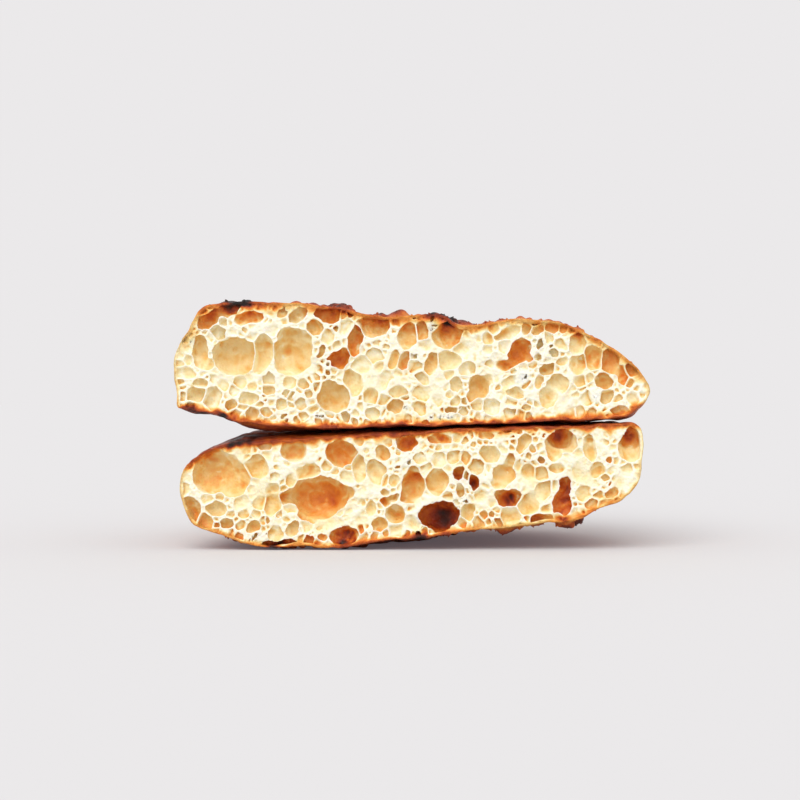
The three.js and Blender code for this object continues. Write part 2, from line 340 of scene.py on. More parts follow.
# The lower half's cavities are drawn darker than the upper half's, partly as painted shade where the upper
# half hangs over it.
LOWER_CAVITIES = (
    # the largest ones
    (0.33, 0.00, ((-82, 32.5, 18.5, 18, 0), (-75, 29, 13, 14, 0), (-84.5, 38.5, 12, 7, 0))),
    (0.35, 0.30, ((-38.5, 22.5, 22, 16.5, 0), (-50, 22, 9.5, 6.5, 0), (-30.5, 25, 11, 7.5, 0),
                  (-43, 14.5, 7.5, 7, 0))),
    (0.39, 0.50, ((11.5, 14.5, 17.5, 14, 0), (14, 13.5, 8, 8, 0, 0.85))),
    (0.31, 0.00, ((23.5, 15.5, 6, 8.5, 0),)),
    # round ones under the oven-floor crust
    (0.35, 0.30, ((-50, 41.5, 9.5, 8.5, 0),)),
    (0.35, 0.25, ((-29, 40, 13, 10.5, 0),)),
    (0.39, 0.40, ((-2, 45, 9, 7.5, 0),)),
    (0.35, 0.20, ((-16.5, 47.5, 5.5, 3.8, 0),)),
    (0.39, 0.30, ((-21, 45, 3.5, 3, 0),)),
    (0.35, 0.20, ((-10, 45, 3.5, 3, 0),)),
    (0.35, 0.10, ((-12.5, 40.5, 5.2, 6.2, 0),)),
    (0.35, 0.10, ((-41.5, 43, 5.5, 4.2, 0),)),
    (0.30, 0.00, ((-61.5, 43.5, 7, 4.5, 0),)),
    (0.50, 0.60, ((12, 46.5, 7, 2, 0), (12, 47.8, 1.5, 2, 0))),
    (0.39, 0.20, ((31.5, 47.5, 6, 3.2, 0),)),
    (0.31, 0.00, ((47.5, 44.5, 6.2, 7.5, -25),)),
    (0.39, 0.20, ((41, 50.6, 4.2, 2.5, 0),)),
    # the pair with a deeper hollow in each
    (0.31, 0.00, ((60, 43, 7.5, 12, 0), (65.5, 44.5, 8.5, 9, 0), (62.3, 47.5, 5.5, 5.5, 0, 0.85))),
    (0.31, 0.00, ((92.5, 42.5, 9.5, 12, 0), (92.3, 47.3, 5.0, 5.5, 0, 0.85))),
    (0.28, 0.00, ((75, 42.5, 6, 10.5, 0),)),
    # middle
    (0.28, 0.00, ((-65.5, 34.5, 9, 9.5, 0),)),
    (0.28, 0.00, ((-58.5, 25, 6, 5.5, 0), (-58, 19, 7, 10, 0))),
    (0.35, 0.15, ((-43.5, 33, 10.5, 5.5, 5),)),
    (0.33, 0.10, ((-51.5, 29, 4.8, 4.8, 0),)),
    (0.25, 0.00, ((-35.5, 35, 5.5, 4, 0),)),
    (0.26, 0.00, ((-21.5, 34.5, 5.5, 10, 0),)),
    (0.25, 0.00, ((-17.5, 18, 4, 8, 0),)),
    (0.31, 0.10, ((-11.5, 30, 3.5, 4.5, 0),)),
    (0.31, 0.10, ((-7.2, 29, 4.2, 4.2, 0),)),
    (0.31, 0.10, ((-6.2, 35, 2.8, 3.5, 0),)),
    (0.40, 0.60, ((-7.5, 23, 5, 2.5, 20), (-11.5, 21, 3.5, 3.5, 0))),
    (0.35, 0.50, ((0.5, 32, 4, 5, 0), (0.5, 27, 8.5, 9, 0), (-1.5, 23.5, 6.5, 6, 0))),
    (0.33, 0.15, ((11.3, 28.5, 9.4, 9.6, 0),)),
    (0.40, 0.70, ((19.6, 30.7, 4, 6.2, -10),)),
    (0.40, 0.70, ((23, 29.8, 2.4, 4.2, 10),)),
    (0.40, 0.70, ((26.2, 28, 4.2, 5.2, 15),)),
    (0.28, 0.00, ((19.8, 25, 4, 6.5, 0),)),
    (0.26, 0.00, ((32.5, 40, 8.4, 7.6, 0),)),
    (0.35, 0.15, ((41.2, 38, 4.8, 7.5, -30), (38.5, 32.5, 9, 8, -35), (37, 28.5, 6.5, 5, 0))),
    (0.40, 0.60, ((54.2, 37.5, 2, 2.4, 0),)),
    (0.40, 0.60, ((84, 37.5, 2.4, 2.4, 0),)),
    (0.22, 0.00, ((60.5, 33.5, 7.6, 4.2, 0),)),
    (0.31, 0.10, ((78, 34, 7, 5.5, 20),)),
    (0.26, 0.00, ((90.5, 33, 5.5, 5.5, 0),)),
    (0.28, 0.00, ((81.5, 30.5, 4.2, 2.8, 0),)),
    (0.26, 0.00, ((60, 26, 5.5, 4.2, 0),)),
    # along the baked side underneath
    (0.31, 0.10, ((-92.3, 16.2, 7.5, 11.5, 0),)),
    (0.26, 0.00, ((-82, 17.5, 8.4, 6.2, 0),)),
    (0.26, 0.00, ((-77.5, 11.5, 6.2, 5.5, 0),)),
    (0.28, 0.00, ((-70.5, 15, 4.2, 3.5, 0),)),
    (0.26, 0.00, ((-66.5, 9.5, 6.2, 5.5, 0),)),
    (0.48, 0.50, ((-56, 3.4, 14, 2.6, 2),)),
    (0.43, 0.30, ((-43, 4.6, 5.2, 3.5, 0),)),
    (0.43, 0.30, ((-37.5, 5.5, 4.2, 3.2, 0),)),
    (0.43, 0.40, ((-28.5, 6, 11, 6.5, 10),)),
    (0.42, 0.30, ((-21, 8.6, 2.8, 3.5, 0),)),
    (0.35, 0.20, ((-14.3, 10.7, 5.5, 6.5, 0),)),
    (0.31, 0.10, ((-7.5, 15.5, 9, 9, 0),)),
    (0.52, 0.50, ((3.3, 7, 4.2, 2.2, 0),)),
    (0.39, 0.30, ((41.8, 22, 9.8, 7.2, 0), (41.2, 20.8, 4.5, 4.5, 0, 0.88), (38.6, 23, 3.2, 3.4, 0, 0.8))),
    (0.31, 0.10, ((30.3, 14, 2.4, 4.2, 0),)),
    (0.31, 0.10, ((33.8, 14.8, 2.8, 2.4, 0),)),
    (0.39, 0.20, ((36.5, 12, 3.5, 3, 0),)),
    (0.42, 0.50, ((64.4, 26, 4.2, 5.5, 0, 0.8), (63.6, 19.5, 6.6, 9, 0), (62, 18, 3.5, 3.5, 0, 0.85))),
    (0.40, 0.70, ((54, 13.4, 6.2, 2.8, 5),)),
    (0.48, 0.40, ((49.2, 13.8, 2.4, 2.8, 0),)),
    (0.40, 0.70, ((45, 10.8, 5.2, 1.6, 0),)),
    (0.35, 0.10, ((56.8, 17, 4.8, 3.5, 0),)),
    (0.35, 0.10, ((84.5, 24.2, 7.3, 3.2, 10),)),
    (0.39, 0.50, ((76.2, 20, 4.2, 2.4, 20),)),
)


def srgb_to_linear(code):
    """A colour given as "#RRGGBB", for a shader."""
    shares = [int(code[i:i + 2], 16) / 255 for i in (1, 3, 5)]
    return tuple(s / 12.92 if s <= 0.04045 else ((s + 0.055) / 1.055) ** 2.4 for s in shares)


def add_node(tree, kind, settings=None, inputs=None):
    """Adds a node. An input is a value, or another node's output that is linked to it."""
    node = tree.nodes.new(kind)
    for name, value in (settings or {}).items():
        setattr(node, name, value)
    for name, value in (inputs or {}).items():
        if isinstance(value, bpy.types.NodeSocket):
            tree.links.new(value, node.inputs[name])
        else:
            node.inputs[name].default_value = value
    return node


def link_object(name, data):
    """A new object in the scene."""
    made = bpy.data.objects.new(name, data)
    bpy.context.scene.collection.objects.link(made)
    return made


def finish_mesh(piece):
    """Turns an object's modifiers into its own plain mesh, with smooth shading."""
    evaluated = piece.evaluated_get(bpy.context.evaluated_depsgraph_get())
    piece.data = bpy.data.meshes.new_from_object(evaluated)
    piece.modifiers.clear()
    piece.data.shade_smooth()


# ---------------------------------------------------------------- fields on the grid

def depth_steps(front, back):
    """Places from front to back, close together at first and then further apart."""
    steps = [front]
    step = PITCH
    while steps[-1] < back:
        if steps[-1] > front + FINE_DEPTH:
            step = min(step * STEP_GROWTH, COARSE_PITCH)
        steps.append(steps[-1] + step)
    return np.array(steps)


def grid_axes(node):
    """The x, y and z places of the grid round one half."""
    low, high = (np.array(corner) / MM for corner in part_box(node))
    across = np.arange(low[0] - MARGIN, high[0] + MARGIN, PITCH)
    upward = np.arange(low[2] - MARGIN, high[2] + MARGIN, PITCH)
    return across, depth_steps(low[1] - FRONT_STEPS * PITCH, high[1] + MARGIN), upward


def along(axis):
    """The shape that lays a row of values along one axis of the grid."""
    return [-1 if a == axis else 1 for a in range(3)]


def spread(knots, starts, spacing, axes):
    """Values at evenly spaced knots, blended on to the grid as a cubic B-spline."""
    for axis, (start, places) in enumerate(zip(starts, axes)):
        index = (places - start) / spacing
        first = np.floor(index).astype(int)
        t = index - first
        taps = ((1 - t) ** 3, 3 * t ** 3 - 6 * t ** 2 + 4, 3 * (t + t ** 2 - t ** 3) + 1, t ** 3)
        total = 0
        for step, tap in enumerate(taps):
            share = (tap / 6).astype(np.float32).reshape(along(axis))
            total = total + share * np.take(knots, first - 1 + step, axis=axis)
        knots = total
    return knots


def noise(axes, size, rng):
    """Smooth random values, mostly from -1 to 1, with lumps about size across."""
    starts = [axis[0] - size for axis in axes]
    counts = [int((axis[-1] - axis[0]) / size) + SPLINE_ENDS + 1 for axis in axes]
    knots = rng.standard_normal(counts).astype(np.float32)
    return spread(knots, starts, size, axes) * 2


def soften(field, passes):
    """Evens out a field, more with each pass."""
    for axis in (0, 1, 2) * passes:
        field = field / 2 + (np.roll(field, 1, axis) + np.roll(field, -1, axis)) / 4
    return field


def smooth_max(a, b, blend):
    """The larger of two fields, with the crease between them rounded."""
    overlap = np.clip(blend - np.abs(a - b), 0, None) / blend
    return np.maximum(a, b) + overlap ** 2 * blend / 4


def fade(values, start, end):
    """0 at start and 1 at end, with a smooth change between them."""
    share = np.clip((values - start) / (end - start), 0, 1)
    return share * share * (3 - 2 * share)


def near_spots(x, z, spots):
    """How close each place is to the nearest of some spots, given as (x, z, reach) and a
    strength where that isn't 1."""
    nearest = 0
    for spot_x, spot_z, reach, *strength in spots:
        away = ((x - spot_x) ** 2 + (z - spot_z) ** 2) / reach ** 2
        nearest = np.maximum(nearest, (strength[0] if strength else 1) * np.exp(-away))
    return nearest


def block_of(axes, low, high):
    """The part of the grid between two corners."""
    return tuple(slice(*np.searchsorted(axis, ends)) for axis, ends in zip(axes, zip(low, high)))


def loaf_distance(node, axes):
    """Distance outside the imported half, less than 0 inside, as if the loaf weren't cut."""
    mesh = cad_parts[node].data
    mesh.calc_loop_triangles()
    corners = np.empty(len(mesh.vertices) * 3)
    mesh.vertices.foreach_get("co", corners)
    corners = corners.reshape(-1, 3) / MM
    triangles = np.array([t.vertices[:] for t in mesh.loop_triangles])
    cut = corners[:, 1].min()
    on_cut = np.abs(corners[triangles][:, :, 1] - cut).max(axis=1) < ON_CUT
    skin = triangles[~on_cut]
    mirrored = corners * (1, -1, 1) + (0, 2 * cut, 0)
    whole = openvdb.FloatGrid.createLevelSetFromPolygons(
        np.vstack([corners, mirrored]).astype(np.float32),
        triangles=np.vstack([skin, skin[:, ::-1] + len(corners)]).astype(np.uint32),
        transform=openvdb.createLinearTransform(SOLID_PITCH),
        halfWidth=SOLID_BAND,
    )
    low = [int(axis[0] / SOLID_PITCH) - SPLINE_ENDS for axis in axes]
    high = [int(axis[-1] / SOLID_PITCH) + SPLINE_ENDS + 1 for axis in axes]
    distance = np.zeros([end - start for start, end in zip(low, high)], np.float32)
    whole.copyToArray(distance, ijk=tuple(low))
    return spread(soften(distance, 1), [start * SOLID_PITCH for start in low], SOLID_PITCH, axes)


# ---------------------------------------------------------------- bubbles and blisters

class Foam:
    """The bubbles of one half. It knows, for each place on the grid, how far away the skins of the nearest
    bubble and the next one are, and how dark the nearest one's inside is drawn, from its toast and from
    painted shade."""

    def __init__(self, axes, rng):
        self.axes = axes
        shape = [len(axis) for axis in axes]
        self.near = np.full(shape, FAR, np.float32)
        self.next = np.full(shape, FAR, np.float32)
        self.toast_and_shade = np.full(shape, PALE, np.float32)
        self.places = []
        for axis, values in enumerate(axes):
            line = values.astype(np.float32).reshape(along(axis))
            shift = sum(swing * noise(axes, size, rng) for size, swing in BUBBLE_WARP)
            self.places.append(line + shift)

    def add(self, lobes, toast_and_shade, reach):
        """Adds a bubble of one or more lobes, each a (centre, radii, tilt)."""
        low = np.min([centre - radii.max() for centre, radii, _ in lobes], axis=0) - reach
        high = np.max([centre + radii.max() for centre, radii, _ in lobes], axis=0) + reach
        block = block_of(self.axes, low, high)
        x, y, z = (place[block] for place in self.places)
        skin = None
        for centre, radii, tilt in lobes:
            lengthwise = (x - centre[0]) * math.cos(tilt) + (z - centre[2]) * math.sin(tilt)
            across = (z - centre[2]) * math.cos(tilt) - (x - centre[0]) * math.sin(tilt)
            parts = (lengthwise / radii[0], (y - centre[1]) / radii[1], across / radii[2])
            size = np.sqrt(sum(part ** 2 for part in parts)) + TINY
            slope = np.sqrt(sum((part / r) ** 2 for part, r in zip(parts, radii))) + TINY
            lobe = size * (size - 1) / slope
            skin = lobe if skin is None else -smooth_max(-skin, -lobe, LOBE_BLEND)
        near, after = self.near[block], self.next[block]
        closer = skin < near
        self.next[block] = np.where(closer, near, np.minimum(after, skin))
        self.near[block] = np.where(closer, skin, near)
        self.toast_and_shade[block] = np.where(closer, toast_and_shade, self.toast_and_shade[block])


def place_cavities(foam, cavities, cut):
    """The cavities that were chosen one by one."""
    for toast_and_shade, sink, mouths in cavities:
        lobes = []
        for x, z, width, height, tilt, *own_sink in mouths:
            lobe_sink = own_sink[0] if own_sink else sink
            grow = 1 / math.sqrt(1 - lobe_sink ** 2)
            deep = math.sqrt(width * height) * CAVITY_DEPTH
            radii = np.array([width, deep, height]) / 2 * grow
            centre = np.array([x, cut + lobe_sink * radii[1], z])
            lobes.append((centre, radii, math.radians(tilt)))
        foam.add(lobes, toast_and_shade, CAVITY_REACH)


def fill_with_bubbles(foam, room, floor_side, dense, pale, cut, rng):
    """Fills the dough between the cavities with ever smaller bubbles, at random. Those close to
    the crust are more toasted. room is the distance to the crust at each place, and floor_side
    the distance to the oven-floor side at each height."""
    axes = foam.axes
    for radius, tries in BUBBLE_SIZES:
        ends = np.searchsorted(axes[1], [cut + share * radius for share in BUBBLE_PLACES])
        spots = [rng.integers(0, len(axes[0]), tries), rng.integers(*ends, tries),
                 rng.integers(0, len(axes[2]), tries)]
        sizes = radius * rng.uniform(*BUBBLE_SCALES, tries)
        stretches = rng.uniform(*BUBBLE_STRETCHES, (tries, 3)) * (1, FLATNESS, 1)
        tilts = rng.uniform(*BUBBLE_TILTS, tries)
        densities = rng.uniform(*DENSITIES, tries)
        for i in range(tries):
            spot = tuple(axis_spots[i] for axis_spots in spots)
            size = sizes[i]
            if room[spot] < size * CRUST_ROOM or foam.near[spot] < size * (1 - SQUEEZE):
                continue
            if dense[spot[0], spot[2]] > densities[i]:
                continue
            if size > FINEST + floor_side[spot[2]] * COARSENING:
                continue
            centre = np.array([axis[s] for axis, s in zip(axes, spot)])
            toast_and_shade = pale + CRUST_TOAST * math.exp(-room[spot] / CRUST_TOAST_DEPTH)
            foam.add([(centre, size * stretches[i], tilts[i])], toast_and_shade, radius + BUBBLE_REACH)


def raise_blisters(outside, axes, crown, cut, rng):
    """Blows blisters up out of the baked side, and returns how scorched each place is."""
    scorch = np.zeros(outside.shape, np.float32)
    crust_side = outside if crown > 0 else outside[:, :, ::-1]
    heights = axes[2] if crown > 0 else axes[2][::-1]
    middle = (axes[0][0] + axes[0][-1]) / 2
    half_width, depth = axes[0][-1] - middle - MARGIN, axes[1][-1] - MARGIN - cut
    for radius, tries in BLISTER_SIZES:
        columns = rng.integers(0, len(axes[0]), tries), rng.integers(0, len(axes[1]), tries)
        for i, j in zip(*columns):
            from_middle = np.hypot((axes[0][i] - middle) / half_width, (axes[1][j] - cut) / depth)
            filled = np.flatnonzero(crust_side[i, j] < 0)
            if not len(filled) or from_middle > BLISTER_RIM or axes[1][j] < cut + radius:
                continue
            size = radius * rng.uniform(*BLISTER_SCALES)
            height = heights[filled[-1]] - crown * BLISTER_SINK * size
            centre = np.array([axes[0][i], axes[1][j], height])
            block = block_of(axes, centre - 2 * size, centre + 2 * size)
            x, y, z = np.meshgrid(*(axis[part] for axis, part in zip(axes, block)), indexing="ij")
            away = np.sqrt((x - centre[0]) ** 2 + (y - centre[1]) ** 2 + (z - centre[2]) ** 2)
            blister = size - away.astype(np.float32)
            outside[block] = -smooth_max(-outside[block], blister, BLISTER_BLEND * size)
            dark = np.clip(BLISTER_HALO - away / size, 0, 1).astype(np.float32)
            scorch[block] = np.maximum(scorch[block], dark * rng.uniform(*BLISTER_SCORCH))
    return scorch


def high_spots(outside, axes, crown):
    """How far the baked side stands above what is round it, in millimetres, as a map with the
    same values at every height, and the map's axes."""
    crust_side = outside if crown < 0 else outside[:, :, ::-1]
    heights = np.flip(axes[2]) if crown > 0 else -axes[2]
    tops = heights[np.argmax(crust_side < 0, axis=2)]
    across, backward = (np.arange(axis[0], axis[-1], RISE_STEP) for axis in axes[:2])
    columns = np.ix_(np.searchsorted(axes[0], across), np.searchsorted(axes[1], backward))
    tops = np.repeat(tops[columns][:, :, None], 2, axis=2)
    return tops - soften(tops, RISE_PASSES), (across, backward, MAP_HEIGHTS)


# ---------------------------------------------------------------- meshes

def outer_shell(points, faces):
    """Leaves out every bubble that is sealed in the dough and every loose crumb."""
    label = np.arange(len(points))
    links = np.vstack([faces[:, [0, 1]], faces[:, [1, 2]], faces[:, [2, 3]]])
    while True:
        lowest = label[links].min(axis=1)
        found = label.copy()
        np.minimum.at(found, links[:, 0], lowest)
        np.minimum.at(found, links[:, 1], lowest)
        found = found[found]
        if np.array_equal(found, label):
            break
        label = found
    biggest = np.bincount(label).argmax()
    kept = label == biggest
    index = np.cumsum(kept) - 1
    return points[kept], index[faces[kept[faces[:, 0]]]]


def mesh_from_field(name, field, axes):
    """The surface where the field is 0, as a mesh in metres under the triangle limit."""
    grid = openvdb.FloatGrid(ISO_BAND)
    grid.copyFromArray(np.clip(field, -ISO_BAND, ISO_BAND))
    points, quads = grid.convertToQuads(isovalue=0)
    points, quads = outer_shell(points, quads)
    places = [np.interp(points[:, a], np.arange(len(axes[a])), axes[a]) * MM for a in range(3)]
    mesh = bpy.data.meshes.new(name)
    mesh.from_pydata(np.stack(places, axis=1), [], quads.tolist())
    bread = link_object(name, mesh)
    thin = bread.modifiers.new("thin", "DECIMATE")
    thin.ratio = min(1, TRIANGLES / (2 * len(quads)))
    finish_mesh(bread)
    return bread


def vertex_places(mesh):
    """The vertices of a mesh, in millimetres."""
    places = np.empty(len(mesh.vertices) * 3)
    mesh.vertices.foreach_get("co", places)
    return places.reshape(-1, 3) / MM


def sample(field, axes, places):
    """The field's value at each place, from the eight grid points round it."""
    index = [np.interp(places[:, a], axes[a], np.arange(len(axes[a]))) for a in range(3)]
    low = [np.clip(i.astype(int), 0, n - 2) for i, n in zip(index, field.shape)]
    share = [i - l for i, l in zip(index, low)]
    total = 0
    for corner in np.ndindex(2, 2, 2):
        weight = np.prod([s if c else 1 - s for s, c in zip(share, corner)], axis=0)
        total = total + weight * field[tuple(l + c for l, c in zip(low, corner))]
    return total


def noise_at(places, size, rng):
    """The same kind of values as noise(), but only at the given places."""
    axes = [np.linspace(places[:, a].min(), places[:, a].max() + size, 2) for a in range(3)]
    coarse = [np.arange(axis[0] - size, axis[1] + size, COARSE_NOISE * size) for axis in axes]
    return sample(noise(coarse, size, rng), coarse, places)


def store(mesh, name, values):
    """Stores one value for each vertex, for the materials and the flakes to read."""
    attribute = mesh.attributes.new(name, "FLOAT", "POINT")
    attribute.data.foreach_set("value", values.astype(np.float32))


def coat(mesh, dry):
    """Gives a mesh its crumb, and crust on each face whose first vertex is dry."""
    first = np.empty(len(mesh.polygons), np.int32)
    mesh.polygons.foreach_get("loop_start", first)
    corners = np.empty(len(mesh.loops), np.int32)
    mesh.loops.foreach_get("vertex_index", corners)
    mesh.materials.append(crumb_material())
    mesh.materials.append(crust_material())
    mesh.polygons.foreach_set("material_index", dry[corners[first]].astype(np.int32))


# ---------------------------------------------------------------- one half of the loaf

class Half:
    """One half while it is made: first its fields on the grid, and then what its mesh is like at
    each vertex. All its steps draw from one random generator, so they run in the order given."""

    def __init__(self, node, crown, seed):
        """crown is 1 where the loaf's baked top faces up, and -1 where it faces down."""
        self.node = node
        self.crown = crown
        self.rng = np.random.default_rng(seed)
        self.axes = grid_axes(node)
        self.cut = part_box(node)[0].y / MM
        self.depth = (self.axes[1] - self.cut).reshape(1, -1, 1).astype(np.float32)
        self.front = np.searchsorted(self.axes[1], self.cut + FOAM_DEPTH)
        self.crumb_axes = (self.axes[0], self.axes[1][:self.front], self.axes[2])

    def shape_crust(self):
        """Works out the distance outside the crust, with its relief, lip and blisters."""
        loaf = loaf_distance(self.node, self.axes)
        self.upward = self.crown * np.gradient(loaf, self.axes[2], axis=2)
        self.outside = loaf + INSET
        for size, height in RELIEF:
            self.outside += height * noise(self.axes, size, self.rng)
        facing_floor = fade(-self.upward, *LIP_FACING)
        self.outside += LIP * facing_floor * np.exp(-np.abs(self.depth) / LIP_DEPTH)
        self.scorch = raise_blisters(self.outside, self.axes, self.crown, self.cut, self.rng)

    def open_crumb(self, cavities, dough, pale):
        """Fills the dough with bubbles, the small ones as dark as pale says, from toast and, on the lower
        half, painted shade.
        """
        self.foam = Foam(self.crumb_axes, self.rng)
        place_cavities(self.foam, cavities, self.cut)
        dense = near_spots(self.axes[0][:, None], self.axes[2], dough).astype(np.float32)
        self.dense = dense[:, None, :]
        room = -self.outside[:, :self.front] - CRUST
        floor_side = np.abs(self.axes[2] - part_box("upper_half")[0].z / MM)
        fill_with_bubbles(self.foam, room, floor_side, dense, pale, self.cut, self.rng)

    def swing(self, size_and_height):
        """One layer of noise in the crumb."""
        size, height = size_and_height
        return height * noise(self.crumb_axes, size, self.rng)

    def swell_bubbles(self):
        """Lets the bubbles swell up to their walls and to the crust. Returns how far outside the
        nearest one each place is."""
        near, after = self.foam.near, self.foam.next
        self.fold = sum(np.abs(self.swing(layer)) for layer in FOLDS)
        growth = np.clip(GROWTH + self.swing(GROWTH_NOISE), 0, None) * (1 - DENSE_GROWTH * self.dense)
        wall = np.clip(WALL + self.swing(WALL_NOISE), THINNEST_WALL, None)
        cavity = np.maximum(near - self.fold - growth, (wall - after + near) / 2)
        crust = np.clip(CRUST + self.swing(CRUST_NOISE), THINNEST_CRUST, None)
        return np.maximum(cavity, self.outside[:, :self.front] + crust)

    def cut_open(self):
        """Cuts the loaf and opens its bubbles in the cut face, all of it above the table."""
        cavity = self.swell_bubbles()
        dents = CUT_DENT + DOUGH_DENT * self.dense
        cut_face = dents * np.abs(noise(self.crumb_axes, DENT_SIZE, self.rng)) - self.depth[:, :self.front]
        rim = np.clip(RIM_ROUND + self.swing(RIM_NOISE), SHARPEST_RIM, None) * (1 + self.dense)
        dough = np.maximum(self.outside[:, :self.front], cut_face)
        solid = np.maximum(self.outside, -self.depth)
        solid[:, :self.front] = smooth_max(dough, -cavity, rim)
        table = -self.axes[2].reshape(1, 1, -1).astype(np.float32)
        self.solid = np.maximum(solid, table)

    def at(self, field):
        """A field's value at each vertex."""
        axes = self.crumb_axes if field.shape[1] == self.front else self.axes
        return sample(field, axes, self.places)

    def survey(self, mesh, scorches):
        """Works out what the baking and the painted shade depend on at each vertex."""
        self.places = vertex_places(mesh)
        self.inside = -self.at(self.outside)
        self.behind = self.places[:, 1] - self.cut
        upward = self.at(self.upward)
        self.top, self.floor_side = fade(upward, *TOP_FACING), fade(-upward, *FLOOR_FACING)
        self.patch = noise_at(self.places, PATCH_SIZE, self.rng)
        self.streak = noise_at(self.places, STREAK_SIZE, self.rng)
        self.speck = noise_at(self.places, SPECK_SIZE, self.rng)
        reach, reach_swing = CHAR_REACH
        char_depth = CHAR_DEPTH * (reach + reach_swing * self.patch)
        self.charred = self.near_cut(scorches) * (1 + CHAR_SPECK * self.speck)
        self.charred *= np.exp(-np.clip(self.behind, 0, None) / char_depth)
        self.blistered = self.at(self.scorch) * self.top
        # hollow grows with depth behind the cut. The crumb's toast is scaled by it, so rims stay pale and
        # insides darken: painted shade on top of the real toast.
        self.hollow = 1 - np.exp(-np.clip(self.behind - SKIN_DEPTH, 0, None) / SKIN_FADE)
        self.band = (BAND + (TOP_BAND + CROWN_BAND * self.crown) * self.top
                     + FLOOR_BAND * self.floor_side + SPECK_BAND * self.speck
                     + HOLLOW_BAND * self.top * self.hollow)

    def near_cut(self, spots):
        """How close each vertex is to some spots that were chosen in the cut face."""
        return near_spots(self.places[:, 0], self.places[:, 2], spots)

    def bake_crust(self):
        """How baked the crust is at each vertex."""
        side = np.clip(1 - self.top - self.floor_side, 0, 1)
        bake_and_shade = (CRUST_BAKE + TOP_BAKE * self.top + FLOOR_BAKE * self.floor_side
                - PALE_SIDE * side * np.exp(-np.abs(self.behind) / PALE_SIDE_DEPTH))
        height = sample(*high_spots(self.outside, self.axes, self.crown), self.places)
        rise = np.clip(height, -MOST_RISE, MOST_RISE) * self.top
        bake_and_shade += (PATCH_BAKE * self.patch + SPECK_BAKE * self.speck + BLISTER_BAKE * self.blistered
                 + RISE_BAKE * rise)
        return bake_and_shade + np.minimum(self.charred, MOST_CHAR)

    def bake_and_shade_crumb(self, crust_bake, shaded_hollows):
        """How baked the crumb is at each vertex, up to where it turns into crust, with painted shade added
        deeper in its bubbles, in pits and at the far ends of deep cavities and hollows.
        """
        filled = (self.solid[:, :self.front] < 0).astype(np.float32)
        pit = np.clip(self.at(soften(filled, PIT_PASSES)) - PIT_SHARE, 0, MOST_PIT)
        crest = 1 - fade(self.at(self.fold), *CREST_FADE)
        from_crust = np.clip(self.inside, 0, None)
        # Each bubble's toast shows only as far in as hollow allows, which paints shade deeper inside the
        # bubbles.
        bake_and_shade = (self.at(self.foam.toast_and_shade) + STREAK_TOAST * self.streak + SPECK_BAKE * self.speck
                - CREST_PALE * crest) * self.hollow
        # Pits, where much dough lies round a place, are drawn darker: painted shade.
        bake_and_shade += PIT_SHADE * pit
        bake_and_shade += TOP_TOAST * np.exp(-from_crust / TOP_TOAST_DEPTH) * self.top * self.hollow
        # Painted shade at the far ends of deep cavities.
        bake_and_shade += DEEP_SHADE * fade(self.behind, *DEEP_FADE)
        # Every deep bubble is at least this dark at its bottom, as painted shade.
        least = LEAST_DEEP_SHADE * fade(self.behind, *LEAST_FADE) + LEAST_SPECK * self.speck
        bake_and_shade = np.maximum(bake_and_shade, least)
        near_crust = 1 - fade(self.inside, *(share * self.band for share in BAND_FADE))
        bake_and_shade += (crust_bake - BAND_PALE - HOLLOW_PALE * self.hollow - bake_and_shade) * near_crust
        bake_and_shade += self.charred * CRUMB_CHAR * self.hollow
        # The chosen hollows get painted shade at their far ends.
        return bake_and_shade + self.near_cut(shaded_hollows) * fade(self.behind, *HOLLOW_SHADE_FADE)

    def flakiness(self):
        """How many flakes there are at each vertex of the crust."""
        flaky = LEAST_FLAKY + CHAR_FLAKY * self.charred + BLISTER_FLAKY * self.blistered
        return flaky * self.top * fade(self.places[:, 2], *FLAKY_FADE)


def bake_half(node, cavities, scorches, shaded_hollows, dough, pale, crown, seed):
    """One half of the loaf with its flakes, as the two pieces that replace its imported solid."""
    half = Half(node, crown, seed)
    half.shape_crust()
    half.open_crumb(cavities, dough, pale)
    half.cut_open()
    bread = mesh_from_field(node + "_bread", half.solid, half.axes)
    half.survey(bread.data, scorches)
    crust_bake = half.bake_crust()
    crumb_bake_and_shade = half.bake_and_shade_crumb(crust_bake, shaded_hollows)
    crumb = half.inside > CRUST_EDGE
    # The stored value is how baked each vertex is; on the crumb it also holds painted shade, darker deeper
    # in bubbles and pits.
    store(bread.data, "bake_and_shade", np.clip(np.where(crumb, crumb_bake_and_shade, crust_bake), 0, 1))
    store(bread.data, "flaky", half.flakiness() * ~crumb)
    coat(bread.data, half.inside < DRY_SHARE * half.band)
    for piece in (bread, scatter_flakes(bread, node + "_flakes", seed)):
        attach(piece, "root")
        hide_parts(node)


# ---------------------------------------------------------------- loose flakes of crust

def flake_shape():
    """A flake with 20 faces, flat and curled up at two ends."""
    mesh = bpy.data.meshes.new("flake")
    shape = bmesh.new()
    bmesh.ops.create_icosphere(shape, subdivisions=1, radius=0.5)
    for vert in shape.verts:
        vert.co.z = FLAKE_FLATNESS * vert.co.z + FLAKE_CURL * vert.co.x ** 2
        vert.co.y *= FLAKE_WIDTH
    shape.to_mesh(mesh)
    shape.free()
    return bpy.data.objects.new("flake", mesh)


